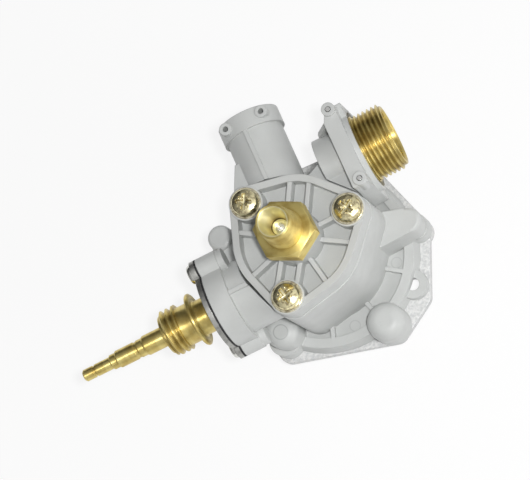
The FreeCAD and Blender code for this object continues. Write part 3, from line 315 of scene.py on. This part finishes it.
def make_materials():
    """One finish for each slot of the record, and some for single pieces."""
    return {
        "housing": moulded_housing(),
        "casting": cast_aluminium(),
        "zinc_steel": zinc_plate("zinc_steel", srgb(0.84, 0.84, 0.82),
                                 srgb(0.66, 0.66, 0.63), 0.3),
        "washer_zinc": zinc_plate("washer_zinc", srgb(0.92, 0.89, 0.78),
                                  srgb(0.50, 0.44, 0.30), 0.75),
        "plate_zinc": zinc_plate("plate_zinc", srgb(0.68, 0.68, 0.665),
                                 srgb(0.46, 0.46, 0.45), 0.7, (0.3, 0.42)),
        "yellow_zinc": zinc_plate("yellow_zinc", srgb(0.94, 0.90, 0.73),
                                  srgb(0.36, 0.27, 0.12), 0.9),
        "stainless": drawn_steel(),
        "inner_plastic": inner_plastic(),
        "seal_rubber": seal_rubber(),
        # The upright brass has painted light in its bore and a painted shade line at the
        # funnel's foot.
        "brass": turned_brass("brass_upright", (0.0, 0.0, 0.0), "Z", bore=mm(5.6, 89.4),
                              gloss=(0.34, 0.46)),
        # The threaded brass has painted shade in its thread roots.
        "brass_inlet": turned_brass("brass_inlet", (0.0, INLET_Y, INLET_Z), "X",
                                    roots=mm(12.1, 12.9)),
        "brass_spindle": turned_brass("brass_spindle", (0.0, SPINDLE_Y, SPINDLE_Z), "X",
                                      roots=mm(8.0, 8.9)),
    }


# CAD nodes whose finish isn't the one of their slot.
OWN_FINISH = {"control_spindle": "brass_spindle", "side_cover_plate": "plate_zinc"}


def dress_frame(materials):
    """Give every CAD node its finish."""
    slots = {entry["node"]: entry["material_slot"] for entry in frame["record"]["subparts"]}
    for name, node in frame["nodes"].items():
        node.data.materials.clear()
        node.data.materials.append(materials[OWN_FINISH.get(name, slots[name])])


# ---------------------------------------------------------------- mesh tools
LATHE_SIDES = 128
SHARP_EDGE = math.radians(34)


def piece(name, shape, body, material, node):
    """A mesh piece of (points, faces), shaded smooth, that rides on a body and stands for a
    CAD node. Edges that bend more than SHARP_EDGE stay crisp.
    """
    points, faces = shape
    mesh = bpy.data.meshes.new(name)
    mesh.from_pydata([tuple(point) for point in points], [], faces)
    mesh.update()
    mesh.materials.append(material)
    thing = bpy.data.objects.new(name, mesh)
    bpy.context.scene.collection.objects.link(thing)
    mesh.polygons.foreach_set("use_smooth", [True] * len(mesh.polygons))
    mesh.set_sharp_from_angle(angle=SHARP_EDGE)
    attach(thing, body)
    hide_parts(node)
    return thing


def axis_frame(origin, along):
    """The matrix that lays a piece made along +Z on an axis through origin."""
    turn = Vector((0, 0, 1)).rotation_difference(Vector(along)).to_matrix().to_4x4()
    return Matrix.Translation(Vector(origin)) @ turn


def polar(reach, turn):
    """The (x, y) at a distance from the origin, turned by an angle in radians."""
    return reach * math.cos(turn), reach * math.sin(turn)


def circle(reach, sides):
    """The (x, y) pairs of a ring round the origin."""
    return [polar(reach, 2 * math.pi * step / sides) for step in range(sides)]


def band(low, high, sides):
    """The faces between two rings of points, which start at the numbers low and high."""
    faces = []
    for step in range(sides):
        after = (step + 1) % sides
        faces.append((low + step, low + after, high + after, high + step))
    return faces


def inside_out(faces):
    """The same faces, looking the other way."""
    return [face[::-1] for face in faces]


def gather(shapes):
    """Join several sets of points and faces into one."""
    points, faces = [], []
    for more_points, more_faces in shapes:
        shift = len(points)
        points += more_points
        faces += [tuple(corner + shift for corner in face) for face in more_faces]
    return points, faces


def lathe(profile, place):
    """A turned shape from a closed outline of (radius, length) pairs.

    A radius may be a function of the turn, in whole turns from 0 to 1.
    """
    points, faces = [], []
    for row, (radius, length) in enumerate(profile):
        for step in range(LATHE_SIDES):
            share = step / LATHE_SIDES
            reach = radius(share) if callable(radius) else radius
            points.append(place @ Vector((*polar(reach, 2 * math.pi * share), length)))
        after = (row + 1) % len(profile)
        faces += band(row * LATHE_SIDES, after * LATHE_SIDES, LATHE_SIDES)
    return points, faces


# ---------------------------------------------------------------- threaded brass
def ridge(share):
    """Height of a thread from root 0 to crest 1 over one pitch, with flats on both."""
    share = share % 1.0
    slope = min(share, 1 - share) * 2
    return max(0.0, min(1.0, (slope - 0.1) / 0.8))


def thread_radius(crest, depth, pitches):
    """The radius round one row of a thread that lies a number of pitches along it."""
    return lambda share: crest - depth * (1 - ridge(pitches - share))


def thread_rows(crest, depth, pitch, start, end, fade, phase=0.0):
    """Lathe rows of a helical thread between two lengths, growing to its depth over fade."""
    rows_per_pitch = 14
    count = int((end - start) / pitch * rows_per_pitch)
    rows = []
    for row in range(count + 1):
        length = start + (end - start) * row / count
        grown = depth * min(1.0, (length - start) / fade)
        rows.append((thread_radius(crest, grown, length / pitch + phase), length))
    return rows


def make_inlet_nipple(materials):
    """The brass nipple: a sealed tail, a collar, a neck and the pipe thread."""
    low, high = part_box("inlet_nipple")
    start, end = low.x, high.x
    way, groove, tail, collar, neck, bore = mm(6.8, 7.4, 9.0, 15.1, 13.6, 10.4)
    crest, depth, undercut, mouth, chamfer = mm(13.2, 1.16, 12.3, 12.0, 0.7)
    groove_start, groove_end = start + 0.6 * MM, start + 2.8 * MM
    collar_start, collar_end, bore_end, thread_start = mm(29.2, 30.7, 31.4, 36.3)
    profile = [(way, start), (tail, start), (tail, groove_start), (groove, groove_start),
               (groove, groove_end), (tail, groove_end), (tail, collar_start),
               (collar, collar_start), (collar, collar_end), (neck, collar_end),
               (neck, thread_start - 0.1 * MM), (undercut, thread_start)]
    profile += thread_rows(crest, depth, PIPE_PITCH, thread_start + 0.2 * MM,
                           end - 1.3 * MM, fade=0.6 * MM)
    profile += [(mouth + 0.1 * MM, end - 0.9 * MM), (mouth, end - 0.15 * MM),
                (mouth - 0.2 * MM, end), (bore + chamfer, end), (bore, end - chamfer),
                (bore, bore_end), (way, bore_end)]
    place = axis_frame((0, INLET_Y, INLET_Z), (1, 0, 0))
    piece("inlet_threaded_nipple", lathe(profile, place), "housing",
          materials["brass_inlet"], "inlet_nipple")


def make_spindle_gland(materials):
    """The side gland: a flange behind the plate, a neck, a thin disc and a coarse thread."""
    low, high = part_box("spindle_gland")
    start, end = -high.x, -low.x
    bore, flange, neck, disc, plain = mm(4.06, 10.6, 7.0, 10.7, 7.8)
    crest, depth = mm(9.3, 1.35)
    flange_end, disc_start, disc_end, plain_end, thread_start = mm(38.9, 48.2, 49.9, 55.2, 55.5)
    profile = [(bore, start), (flange, start), (flange, flange_end), (neck, flange_end),
               (neck, disc_start - 0.5 * MM), (neck + 0.4 * MM, disc_start),
               (disc - 0.6 * MM, disc_start), (disc - 0.05 * MM, disc_start + 0.4 * MM),
               (disc, disc_start + 1.0 * MM), (disc - 0.4 * MM, disc_end - 0.2 * MM),
               (disc - 0.8 * MM, disc_end), (plain + 0.2 * MM, disc_end),
               (plain, disc_end + 0.3 * MM), (plain, plain_end)]
    profile += thread_rows(crest, depth, GLAND_PITCH, thread_start, end - 0.9 * MM,
                           fade=0.5 * MM, phase=0.3)
    profile += [(plain + 0.1 * MM, end - 0.5 * MM), (plain - 0.2 * MM, end),
                (5.0 * MM, end), (bore, end - 0.4 * MM)]
    place = axis_frame((0, SPINDLE_Y, SPINDLE_Z), (-1, 0, 0))
    piece("spindle_gland_threaded", lathe(profile, place), "housing",
          materials["brass_spindle"], "spindle_gland")


# ---------------------------------------------------------------- screws
def recess_depth(x, y, arm, width):
    """Depth share of a pozidriv recess: crossed slots, a cone and faint diagonal rays."""
    reach = math.hypot(x, y)
    slot = min(abs(x), abs(y))
    diagonal = min(abs(x - y), abs(x + y)) / math.sqrt(2)
    wall, cone, ray = 0.35 * width, 0.62 * arm, 0.85 * arm
    depth = 0.0
    if reach < arm:
        taper = 1 - 0.45 * reach / arm
        depth = taper * max(0.0, min(1.0, (width - slot) / wall + 0.2))
    if reach < cone:
        depth = max(depth, 0.75 * (1 - reach / cone) + 0.15)
    if reach < ray and diagonal < 0.3 * width:
        depth = max(depth, 0.16)
    return min(depth, 1.0)


def screw_head(head, height, place, turn):
    """A pan head on a short stub: a dome of rings with a recess, turned round the axis."""
    rings, sides = 40, 96
    arm, width, deep = 0.6 * head, 0.13 * head, 0.62 * height
    fall, edge_from, rim = 0.42, 0.86, 0.2
    stub, stub_end = mm(1.9, -1.0)
    turned = place @ Matrix.Rotation(turn, 4, "Z")
    points, faces = [], []
    for ring in range(rings + 1):
        share = ring / rings
        edge = max(0.0, share - edge_from) / (1 - edge_from)
        dome = height * max(rim, (1 - fall * share ** 2) * (1 - edge ** 2) ** 0.5)
        for x, y in circle(head * share, sides):
            level = dome - deep * recess_depth(x, y, arm, width)
            points.append(turned @ Vector((x, y, level)))
    # The rings at the seat and at the stub's end aren't turned with the dome.
    for reach, level in ((head, 0.0), (stub, stub_end)):
        points += [place @ Vector((x, y, level)) for x, y in circle(reach, sides)]
    for ring in range(rings + 2):
        faces += inside_out(band(ring * sides, (ring + 1) * sides, sides))
    faces.append(tuple(range((rings + 2) * sides, (rings + 3) * sides)))
    return points, faces


def make_cap_screws(materials):
    """The cap's three screws: yellow pan heads on loose washers."""
    low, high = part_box("cap_screw_washers")
    thick = high.z - low.z
    hole, rim, edge = mm(2.1, 6.0, 0.15)
    section = [(hole, 0.0), (rim, 0.0), (rim, thick - edge), (rim - edge, thick), (hole, thick)]
    head, height = mm(5.2, 3.0)
    heads, washers = [], []
    for lobe, turn in ((0, 0.5), (120, 1.1), (240, 0.2)):
        x, y = polar(LOBE_CIRCLE, math.radians(lobe))
        washers.append(lathe(section, Matrix.Translation((x, y, low.z))))
        heads.append(screw_head(head, height, Matrix.Translation((x, y, high.z)), turn))
    piece("cap_screw_heads", gather(heads), "housing",
          materials["yellow_zinc"], "cap_screws")
    piece("cap_washers", gather(washers), "housing",
          materials["washer_zinc"], "cap_screw_washers")


def make_back_screws(materials):
    """The five screws that come up from below into the housing's pillars."""
    head, height = mm(4.0, 2.4)
    heads = []
    for count, (reach, turn) in enumerate(PILLARS):
        spot = (*polar(reach * MM, math.radians(turn)), BACK_SCREW_SEAT)
        heads.append(screw_head(head, height, axis_frame(spot, (0, 0, -1)), 0.4 * count))
    piece("back_screw_heads", gather(heads), "housing",
          materials["yellow_zinc"], "back_cover_screws")


def make_side_screws(materials):
    """The two screws in the ears of the side cover's plate."""
    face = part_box("side_cover_plate")[0].x
    head, height = mm(3.9, 2.6)
    heads = []
    for reach, turn in ((SIDE_EAR_AT, 0.3), (-SIDE_EAR_AT, 0.9)):
        y, z = polar(reach, SIDE_EAR_TURN)
        spot = (face, SPINDLE_Y + y, SPINDLE_Z + z)
        heads.append(screw_head(head, height, axis_frame(spot, (-1, 0, 0)), turn))
    piece("side_screw_heads", gather(heads), "housing",
          materials["zinc_steel"], "side_cover_screws")


# ---------------------------------------------------------------- return spring
def make_return_spring(materials):
    """The coil spring over the diaphragm's plate. It shortens as the push pin lifts, but this
    piece is built at one length.
    """
    low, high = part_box("return_spring")
    wire, turns, steps, sides = 0.6 * MM, 5, 300, 10
    coil = high.x - wire
    bottom, top = low.z + wire, high.z - wire
    points, faces = [], []
    for step in range(steps + 1):
        share = step / steps
        level = bottom + (top - bottom) * share
        for out, up in circle(wire, sides):
            x, y = polar(coil + out, 2 * math.pi * turns * share)
            points.append((x, y, level + up))
    for step in range(steps):
        faces += inside_out(band(step * sides, (step + 1) * sides, sides))
    faces.append(tuple(range(sides)))
    faces.append(tuple(range(steps * sides, (steps + 1) * sides))[::-1])
    spring = piece("return_spring_coils", (points, faces), "housing",
                   materials["stainless"], "return_spring")
    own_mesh(spring)


# ---------------------------------------------------------------- studio
def area_light(name, place, target, size, power):
    """A square lamp that looks at a target."""
    lamp = bpy.data.lights.new(name, "AREA")
    lamp.shape = "SQUARE"
    lamp.size = size
    lamp.energy = power
    thing = bpy.data.objects.new(name, lamp)
    thing.location = place
    aim = Vector(target) - Vector(place)
    thing.rotation_euler = aim.to_track_quat("-Z", "Y").to_euler()
    bpy.context.scene.collection.objects.link(thing)


def make_floor():
    """A pale floor that looks white and keeps the object's shadow."""
    half, glow_share = 3.0, 0.84
    mesh = bpy.data.meshes.new("studio_floor")
    corners = [(-half, -half, 0), (half, -half, 0), (half, half, 0), (-half, half, 0)]
    mesh.from_pydata(corners, [], [(0, 1, 2, 3)])
    floor = bpy.data.objects.new("studio_floor", mesh)
    bpy.context.scene.collection.objects.link(floor)
    shader = Shader("studio_floor", {"Base Color": (0.94, 0.94, 0.94, 1), "Roughness": 0.9})
    path = shader.add("ShaderNodeLightPath").outputs
    seen = shader.math("MAXIMUM", path["Is Camera Ray"], path["Is Glossy Ray"])
    seen = shader.math("MAXIMUM", seen, path["Is Transmission Ray"])
    glow = shader.add("ShaderNodeEmission", Strength=1.0)
    blend = shader.add("ShaderNodeMixShader", shader.math("MULTIPLY", seen, glow_share),
                       shader.bsdf.outputs[0], glow.outputs[0])
    shader.feed(shader.tree.nodes["Material Output"].inputs["Surface"], blend.outputs[0])
    mesh.materials.append(shader.material)


def make_world():
    """A plain studio surround: an even fill, and white where the camera sees it.

    Metal mirrors it as a tent that is darker away from its bright side.
    """
    world = bpy.data.worlds.new("studio")
    bpy.context.scene.world = world
    world.use_nodes = True
    sky = Nodes(world.node_tree)
    bright_side = (0.52, -0.52, 0.68)
    around = sky.add("ShaderNodeTexCoord").outputs["Generated"]
    lean = sky.add("ShaderNodeVectorMath", around, bright_side,
                   settings={"operation": "DOT_PRODUCT"}).outputs["Value"]
    fill = sky.stretch(-0.5, 0.95, lean, 0.26, 0.34)
    mirror = sky.stretch(-0.25, 0.95, lean, 0.07, 0.95)
    path = sky.add("ShaderNodeLightPath").outputs
    tent = sky.add("ShaderNodeMix", path["Is Glossy Ray"], (0, 0, 0), fill, mirror,
                   settings={"data_type": "FLOAT"}).outputs[0]
    seen = sky.math("MAXIMUM", path["Is Camera Ray"], path["Is Transmission Ray"])
    back = sky.tree.nodes["Background"]
    back.inputs["Color"].default_value = (1, 1, 1, 1)
    sky.feed(back.inputs["Strength"], sky.math("MAXIMUM", seen, tent))


def make_camera():
    """The camera, almost overhead: its place and directions follow the valve's own circles,
    hexagon and axes in the photograph.
    """
    right = Vector((0.8795, -0.3881, -0.2753))
    up = Vector((0.4439, 0.8776, 0.1811))
    back = Vector((0.1713, -0.2815, 0.9442))
    place = Vector((0.12695, -0.22189, 0.82787))
    camera = bpy.data.objects.new("camera", bpy.data.cameras.new("camera"))
    camera.data.lens = 147.0
    camera.data.sensor_width = 36.0
    turn = Matrix((right, up, back)).transposed().to_4x4()
    camera.matrix_world = Matrix.Translation(place) @ turn
    bpy.context.scene.collection.objects.link(camera)
    bpy.context.scene.camera = camera


# ---------------------------------------------------------------- the scene
finishes = make_materials()
dress_frame(finishes)
make_inlet_nipple(finishes)
make_spindle_gland(finishes)
make_cap_screws(finishes)
make_back_screws(finishes)
make_side_screws(finishes)
make_return_spring(finishes)
make_floor()
make_world()
area_light("key", (0.174, -0.224, 0.820), target=(0, 0, 0.05), size=0.045, power=3.9)
area_light("side", (0.27, -0.20, 0.20), target=(0.02, -0.02, 0.05), size=0.16, power=0.32)
make_camera()
bpy.context.scene.view_settings.view_transform = "Standard"
